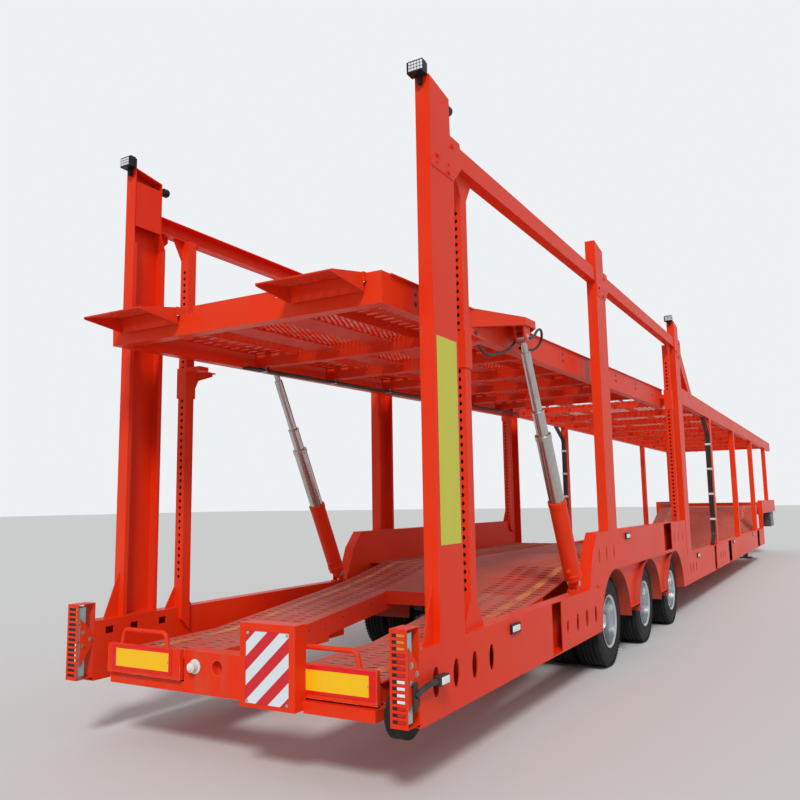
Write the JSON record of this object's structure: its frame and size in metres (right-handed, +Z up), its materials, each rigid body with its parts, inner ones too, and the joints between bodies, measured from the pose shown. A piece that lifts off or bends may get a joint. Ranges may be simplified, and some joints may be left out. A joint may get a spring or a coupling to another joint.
{
  "type": "two-deck car transporter semi-trailer",
  "caption": "Two-deck car transporter semi-trailer with a tilting upper rear deck, lifting cylinders, pin-hole columns, raised wheel panels and a gooseneck on landing legs.",
  "frame": {"origin": "on the ground under the middle of the trailer's bounding box", "axes": "+Y forward to the king pin, +X to the trailer's right, +Z up"},
  "size_m": [2.528, 21.2956, 3.995],
  "materials": {
    "red_paint": "gloss",
    "dark_steel": "satin",
    "black_paint": "satin",
    "chrome": "polished",
    "rim_steel": "satin",
    "tyre": "matte",
    "rubber": "matte",
    "lamp_body": "gloss"
  },
  "bodies": {
    "root": {"air_tank": "black_paint", "arch_liners": "red_paint", "arch_panels": "red_paint", "axle_deck": "red_paint", "axles": "dark_steel", "cylinder_feet": "red_paint", "frame_posts": "red_paint", "front_collars": "red_paint", "front_deck_floor": "red_paint", "front_posts": "red_paint", "front_upper_beams": "red_paint", "gooseneck": "red_paint", "hoses": "rubber", "kingpin": "dark_steel", "lamp_housings": "red_paint", "lamps": "lamp_body", "landing_legs": "dark_steel", "lower_tracks": "red_paint", "marker_board": "red_paint", "neck_floor": "red_paint", "pin_columns": "red_paint", "ramp_right": "red_paint", "side_beams": "red_paint", "spine_beams": "red_paint", "suspension": "dark_steel", "tail_beam": "red_paint", "tool_boxes": "black_paint", "top_rails": "red_paint", "well_floor": "red_paint"},
    "wheel_body_1_right": {"tyres_1_right": "tyre", "wheel_1_right": "rim_steel"},
    "wheel_body_2_right": {"tyres_2_right": "tyre", "wheel_2_right": "rim_steel"},
    "wheel_body_3_right": {"tyres_3_right": "tyre", "wheel_3_right": "rim_steel"},
    "wheel_body_1_left": {"tyres_1_left": "tyre", "wheel_1_left": "rim_steel"},
    "wheel_body_2_left": {"tyres_2_left": "tyre", "wheel_2_left": "rim_steel"},
    "wheel_body_3_left": {"tyres_3_left": "tyre", "wheel_3_left": "rim_steel"},
    "upper_deck": {"deck_side_beams": "red_paint", "deck_floor": "red_paint", "deck_end_beam": "red_paint", "deck_hoses": "rubber"},
    "barrel_right": {"cylinder_barrel_right": "red_paint"},
    "stage_1_right": {"cylinder_stage_1_right": "chrome"},
    "stage_2_right": {"cylinder_stage_2_right": "chrome"},
    "rod_right": {"cylinder_rod_right": "chrome"},
    "barrel_left": {"cylinder_barrel_left": "red_paint"},
    "stage_1_left": {"cylinder_stage_1_left": "chrome"},
    "stage_2_left": {"cylinder_stage_2_left": "chrome"},
    "rod_left": {"cylinder_rod_left": "chrome"},
    "guide": {"guide_collars": "red_paint"},
    "flap_right": {"deck_flap_right": "red_paint"},
    "flap_left": {"deck_flap_left": "red_paint"},
    "ramp_stowed_left": {"ramp_left": "red_paint"},
    "roller": {"tail_roller": "rubber"}
  },
  "joints": [
    {"name": "wheel_1_right_spin", "type": "hinge", "parent": "root", "child": "wheel_body_1_right", "pos_m": [0, -6.6372, 0.395], "axis": [1, 0, 0], "continuous": true},
    {"name": "wheel_2_right_spin", "type": "hinge", "parent": "root", "child": "wheel_body_2_right", "pos_m": [0, -5.2652, 0.395], "axis": [1, 0, 0], "continuous": true},
    {"name": "wheel_3_right_spin", "type": "hinge", "parent": "root", "child": "wheel_body_3_right", "pos_m": [0, -3.8932, 0.395], "axis": [1, 0, 0], "continuous": true},
    {"name": "wheel_1_left_spin", "type": "hinge", "parent": "root", "child": "wheel_body_1_left", "pos_m": [0, -6.6372, 0.395], "axis": [1, 0, 0], "continuous": true},
    {"name": "wheel_2_left_spin", "type": "hinge", "parent": "root", "child": "wheel_body_2_left", "pos_m": [0, -5.2652, 0.395], "axis": [1, 0, 0], "continuous": true},
    {"name": "wheel_3_left_spin", "type": "hinge", "parent": "root", "child": "wheel_body_3_left", "pos_m": [0, -3.8932, 0.395], "axis": [1, 0, 0], "continuous": true},
    {"name": "upper_deck_tilt", "type": "hinge", "parent": "root", "child": "upper_deck", "pos_m": [0, -3.1522, 2.815], "axis": [-1, 0, 0], "range_deg": [-12, 3]},
    {"name": "barrel_right_turn", "type": "hinge", "parent": "root", "child": "barrel_right", "pos_m": [1.16, -7.5222, 0.812], "axis": [1, 0, 0], "range_deg": [-4.7, 18.2]},
    {"name": "stage_1_right_slide", "type": "slide", "parent": "barrel_right", "child": "stage_1_right", "axis": [0, -0.4637, 0.886], "range_m": [-0.5039, 0.129]},
    {"name": "stage_2_right_slide", "type": "slide", "parent": "stage_1_right", "child": "stage_2_right", "axis": [0, -0.4637, 0.886], "range_m": [-0.1741, 0.0465]},
    {"name": "rod_right_slide", "type": "slide", "parent": "stage_2_right", "child": "rod_right", "axis": [0, -0.4637, 0.886], "range_m": [-0.32, 0.083]},
    {"name": "barrel_left_turn", "type": "hinge", "parent": "root", "child": "barrel_left", "pos_m": [-1.16, -7.5222, 0.812], "axis": [1, 0, 0], "range_deg": [-4.7, 18.2]},
    {"name": "stage_1_left_slide", "type": "slide", "parent": "barrel_left", "child": "stage_1_left", "axis": [0, -0.4637, 0.886], "range_m": [-0.5039, 0.129]},
    {"name": "stage_2_left_slide", "type": "slide", "parent": "stage_1_left", "child": "stage_2_left", "axis": [0, -0.4637, 0.886], "range_m": [-0.1741, 0.0465]},
    {"name": "rod_left_slide", "type": "slide", "parent": "stage_2_left", "child": "rod_left", "axis": [0, -0.4637, 0.886], "range_m": [-0.32, 0.083]},
    {"name": "guide_slide", "type": "slide", "parent": "root", "child": "guide", "axis": [0, 0, 1], "range_m": [-1.3444, 0.3391]},
    {"name": "flap_right_fold", "type": "hinge", "parent": "upper_deck", "child": "flap_right", "pos_m": [0, -10.35035, 2.71998], "axis": [-1, 0, 0], "range_deg": [0, 100]},
    {"name": "flap_left_fold", "type": "hinge", "parent": "upper_deck", "child": "flap_left", "pos_m": [0, -10.35035, 2.71998], "axis": [-1, 0, 0], "range_deg": [0, 100]},
    {"name": "ramp_left_pull", "type": "slide", "parent": "root", "child": "ramp_stowed_left", "axis": [0, -1, 0], "range_m": [0, 1.4]},
    {"name": "roller_spin", "type": "hinge", "parent": "root", "child": "roller", "pos_m": [0, -10.2172, 0.415], "axis": [1, 0, 0], "continuous": true}
  ],
  "couplings": [
    {"joint": "barrel_right_turn", "follows": "upper_deck_tilt", "ratio": -1.5},
    {"joint": "stage_1_right_slide", "follows": "upper_deck_tilt", "m_per_rad": 2.387},
    {"joint": "stage_2_right_slide", "follows": "upper_deck_tilt", "m_per_rad": 0.812},
    {"joint": "rod_right_slide", "follows": "upper_deck_tilt", "m_per_rad": 1.509},
    {"joint": "barrel_left_turn", "follows": "upper_deck_tilt", "ratio": -1.5},
    {"joint": "stage_1_left_slide", "follows": "upper_deck_tilt", "m_per_rad": 2.387},
    {"joint": "stage_2_left_slide", "follows": "upper_deck_tilt", "m_per_rad": 0.812},
    {"joint": "rod_left_slide", "follows": "upper_deck_tilt", "m_per_rad": 1.509},
    {"joint": "guide_slide", "follows": "upper_deck_tilt", "m_per_rad": 6.4}
  ]
}
